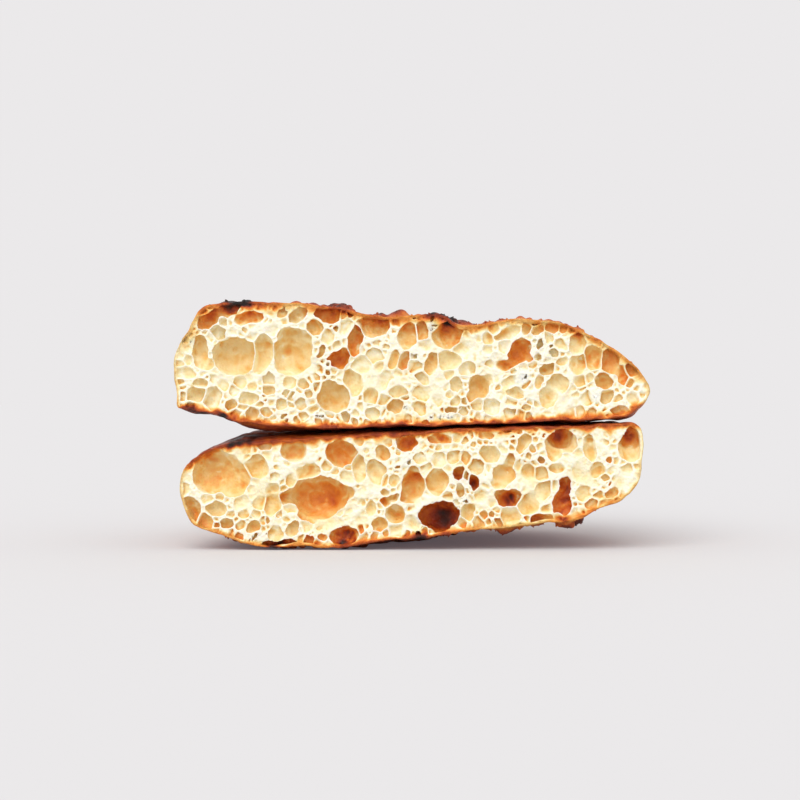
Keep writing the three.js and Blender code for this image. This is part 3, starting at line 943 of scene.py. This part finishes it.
def flake_tree(flake):
    """Geometry nodes that scatter flakes over a crust, most where its flaky attribute is high."""
    tree = bpy.data.node_groups.new("crust_flakes", "GeometryNodeTree")
    ends = (("Crust", "INPUT", "Geometry"), ("Density", "INPUT", "Float"), ("Smallest", "INPUT", "Float"),
            ("Largest", "INPUT", "Float"), ("Seed", "INPUT", "Int"), ("Flakes", "OUTPUT", "Geometry"))
    for name, end, kind in ends:
        tree.interface.new_socket(name, in_out=end, socket_type="NodeSocket" + kind)
    given = add_node(tree, "NodeGroupInput").outputs
    flaky = add_node(tree, "GeometryNodeInputNamedAttribute", inputs={"Name": "flaky"})
    density = add_node(tree, "ShaderNodeMath", {"operation": "MULTIPLY"}, {
        0: flaky.outputs["Attribute"], 1: given["Density"]})
    spots = add_node(tree, "GeometryNodeDistributePointsOnFaces", inputs={
        "Mesh": given["Crust"], "Density": density.outputs[0], "Seed": given["Seed"]})
    size = add_node(tree, "FunctionNodeRandomValue", {"data_type": "FLOAT"}, {
        2: given["Smallest"], 3: given["Largest"], "Seed": given["Seed"]})
    turn = add_node(tree, "FunctionNodeRandomValue", {"data_type": "FLOAT_VECTOR"}, {
        0: (-FLAKE_TILT, -FLAKE_TILT, -math.pi), 1: (FLAKE_TILT, FLAKE_TILT, math.pi),
        "Seed": given["Seed"]})
    facing = add_node(tree, "FunctionNodeRotateRotation", {"rotation_space": "LOCAL"}, {
        "Rotation": spots.outputs["Rotation"], "Rotate By": turn.outputs[0]})
    shape = add_node(tree, "GeometryNodeObjectInfo", inputs={"Object": flake})
    placed = add_node(tree, "GeometryNodeInstanceOnPoints", inputs={
        "Points": spots.outputs["Points"], "Instance": shape.outputs["Geometry"],
        "Rotation": facing.outputs[0], "Scale": size.outputs[1]})
    solid = add_node(tree, "GeometryNodeRealizeInstances", inputs={
        "Geometry": placed.outputs["Instances"]})
    finished = add_node(tree, "GeometryNodeSetMaterial", inputs={
        "Geometry": solid.outputs["Geometry"], "Material": crust_material()})
    add_node(tree, "NodeGroupOutput", inputs={"Flakes": finished.outputs["Geometry"]})
    return tree


def scatter_flakes(bread, name, seed):
    """The flakes on one half as a mesh of their own."""
    host = link_object(name, bread.data)
    modifier = host.modifiers.new("flakes", "NODES")
    modifier.node_group = flake_tree(flake_shape())
    settings = {"Density": FLAKE_DENSITY, "Smallest": FLAKE_SIZE[0] * MM,
                "Largest": FLAKE_SIZE[1] * MM, "Seed": seed}
    for socket in modifier.node_group.interface.items_tree:
        if socket.name in settings:
            modifier[socket.identifier] = settings[socket.name]
    finish_mesh(host)
    return host


# ---------------------------------------------------------------- materials

def baked_colour(tree, place, mottle_size, mottle):
    """The colour of dough from raw to burnt, after the mesh's own attribute of how baked it is, which on
    the crumb also holds painted shade.
    """
    bake_and_shade = add_node(tree, "ShaderNodeAttribute", {"attribute_name": "bake_and_shade"}).outputs["Fac"]
    spots = add_node(tree, "ShaderNodeTexNoise", inputs={
        "Vector": place, "Scale": 1 / (mottle_size * MM), "Detail": 5.0, "Roughness": 0.7})
    shift = add_node(tree, "ShaderNodeMath", {"operation": "MULTIPLY_ADD"}, {
        0: spots.outputs["Fac"], 1: mottle, 2: -mottle / 2})
    total = add_node(tree, "ShaderNodeMath", {"operation": "ADD"}, {0: bake_and_shade, 1: shift.outputs[0]})
    ramp = add_node(tree, "ShaderNodeValToRGB", inputs={"Fac": total.outputs[0]})
    elements = ramp.color_ramp.elements
    while len(elements) < len(BAKE_COLOURS):
        elements.new(1.0)
    for element, (position, code) in zip(elements, BAKE_COLOURS):
        element.position = position
        element.color = (*srgb_to_linear(code), 1)
    return ramp.outputs["Color"]


def new_material(name):
    """An empty node material and its Object coordinates."""
    material = bpy.data.materials.new(name)
    material.use_nodes = True
    material.node_tree.nodes.clear()
    place = add_node(material.node_tree, "ShaderNodeTexCoord").outputs["Object"]
    return material, material.node_tree, place


def crumb_material():
    """Open wheat crumb. Gelled starch is moist and translucent, so that light goes some way into
    the thin walls and they glow; its surface is fine-grained and only slightly shiny."""
    if "open_wheat_crumb" in bpy.data.materials:
        return bpy.data.materials["open_wheat_crumb"]
    material, tree, place = new_material("open_wheat_crumb")
    size, depth = CRUMB_PORES
    pores = add_node(tree, "ShaderNodeTexVoronoi", inputs={"Vector": place, "Scale": 1 / (size * MM)})
    bump = add_node(tree, "ShaderNodeBump", inputs={
        "Height": pores.outputs["Distance"], "Distance": depth * MM, "Strength": 0.7})
    surface = add_node(tree, "ShaderNodeBsdfPrincipled", inputs={
        "Base Color": baked_colour(tree, place, *CRUMB_MOTTLE),
        "Roughness": 0.52,
        "IOR": 1.45,
        "Subsurface Weight": 0.55,
        "Subsurface Radius": (1.0, 0.86, 0.62),
        "Subsurface Scale": 1.3 * MM,
        "Normal": bump.outputs["Normal"],
    })
    add_node(tree, "ShaderNodeOutputMaterial", inputs={"Surface": surface.outputs["BSDF"]})
    return material


def crust_material():
    """Crisp baked crust, browned sugars and a little oil: drier and rougher than the crumb, with
    fine wrinkles and pores, and an uneven soft shine where the oil stayed."""
    if "baked_crust" in bpy.data.materials:
        return bpy.data.materials["baked_crust"]
    material, tree, place = new_material("baked_crust")
    size, depth = WRINKLES
    wrinkles = add_node(tree, "ShaderNodeTexNoise", inputs={
        "Vector": place, "Scale": 1 / (size * MM), "Detail": 6.0, "Roughness": 0.7, "Distortion": 0.6})
    wrinkled = add_node(tree, "ShaderNodeBump", inputs={
        "Height": wrinkles.outputs["Fac"], "Distance": depth * MM, "Strength": 0.9})
    size, depth = CRUST_PORES
    pores = add_node(tree, "ShaderNodeTexVoronoi", inputs={"Vector": place, "Scale": 1 / (size * MM)})
    bump = add_node(tree, "ShaderNodeBump", inputs={
        "Height": pores.outputs["Distance"], "Distance": depth * MM, "Strength": 0.8,
        "Normal": wrinkled.outputs["Normal"]})
    oil = add_node(tree, "ShaderNodeTexNoise", inputs={"Vector": place, "Scale": 1 / (OIL_PATCH * MM)})
    sheen = add_node(tree, "ShaderNodeMapRange", inputs={
        "Value": oil.outputs["Fac"], "From Min": 0.35, "From Max": 0.65, "To Min": 0.34, "To Max": 0.62})
    surface = add_node(tree, "ShaderNodeBsdfPrincipled", inputs={
        "Base Color": baked_colour(tree, place, *CRUST_MOTTLE),
        "Roughness": sheen.outputs["Result"],
        "IOR": 1.45,
        "Subsurface Weight": 0.08,
        "Subsurface Radius": (1.0, 0.4, 0.15),
        "Subsurface Scale": 1.0 * MM,
        "Normal": bump.outputs["Normal"],
    })
    add_node(tree, "ShaderNodeOutputMaterial", inputs={"Surface": surface.outputs["BSDF"]})
    return material


# ---------------------------------------------------------------- studio

def make_camera():
    """A long lens, level with the stack's middle and a little above it."""
    camera = bpy.data.cameras.new("camera")
    camera.lens = LENS
    camera.sensor_width = SENSOR
    target = Vector((AIM[0] * MM, cad_box[0].y, AIM[1] * MM))
    distance = VIEW_WIDTH * MM * camera.lens / camera.sensor_width
    back = Vector((0, -math.cos(ELEVATION), math.sin(ELEVATION)))
    stand = link_object("camera", camera)
    stand.location = target + back * distance
    stand.rotation_euler = (-back).to_track_quat("-Z", "Y").to_euler()
    bpy.context.scene.camera = stand


def make_light():
    """One large soft lamp above and in front, in a white room."""
    lamp = bpy.data.lights.new("key", "SUN")
    lamp.energy = KEY
    lamp.angle = math.radians(KEY_SPREAD)
    link_object("key", lamp).rotation_euler = KEY_FROM.to_track_quat("Z", "Y").to_euler()
    world = bpy.data.worlds.new("studio")
    bpy.context.scene.world = world
    world.use_nodes = True
    tree = world.node_tree
    tree.nodes.clear()
    seen = add_node(tree, "ShaderNodeLightPath").outputs["Is Camera Ray"]
    room = add_node(tree, "ShaderNodeBackground", inputs={"Color": (1, 1, 1, 1), "Strength": ROOM})
    paper = add_node(tree, "ShaderNodeBackground", inputs={"Color": (*srgb_to_linear(PAPER), 1)})
    mixed = add_node(tree, "ShaderNodeMixShader", inputs={
        0: seen, 1: room.outputs[0], 2: paper.outputs[0]})
    add_node(tree, "ShaderNodeOutputWorld", inputs={"Surface": mixed.outputs[0]})


def paper_material():
    """Matt white paper, which scatters all its light evenly. It glows by what it lacks to be
    seen in the backdrop's tone, so that no horizon shows."""
    lit = FLOOR_ALBEDO * (ROOM + KEY * KEY_FROM.z / math.pi)
    glow_colour = [share - lit for share in srgb_to_linear(PAPER)]
    material = bpy.data.materials.new("matt_paper")
    material.use_nodes = True
    tree = material.node_tree
    tree.nodes.clear()
    seen = add_node(tree, "ShaderNodeLightPath").outputs["Is Camera Ray"]
    diffuse = add_node(tree, "ShaderNodeBsdfDiffuse", inputs={"Color": (FLOOR_ALBEDO,) * 3 + (1,)})
    glow = add_node(tree, "ShaderNodeEmission", inputs={"Color": (*glow_colour, 1), "Strength": seen})
    both = add_node(tree, "ShaderNodeAddShader", inputs={0: diffuse.outputs[0], 1: glow.outputs[0]})
    add_node(tree, "ShaderNodeOutputMaterial", inputs={"Surface": both.outputs[0]})
    return material


def make_floor():
    """A sheet of paper under the bread."""
    mesh = bpy.data.meshes.new("floor")
    reach = FLOOR_REACH * MM
    corners = [(-reach, -reach, 0), (reach, -reach, 0), (reach, reach, 0), (-reach, reach, 0)]
    mesh.from_pydata(corners, [], [(0, 1, 2, 3)])
    mesh.materials.append(paper_material())
    floor = link_object("floor", mesh)
    floor.location.z = cad_box[0].z - FLOOR_GAP * MM


bpy.context.scene.view_settings.view_transform = "Standard"
make_camera()
make_light()
make_floor()
bake_half("upper_half", UPPER_CAVITIES, UPPER_SCORCHES, (), UPPER_DOUGH, pale=0.14, crown=1, seed=11)
# The lower half's small bubbles are drawn darker, partly as painted shade under the upper half.
bake_half("lower_half", LOWER_CAVITIES, LOWER_SCORCHES, LOWER_SHADED_HOLLOWS, LOWER_DOUGH,
          pale=0.26, crown=-1, seed=12)
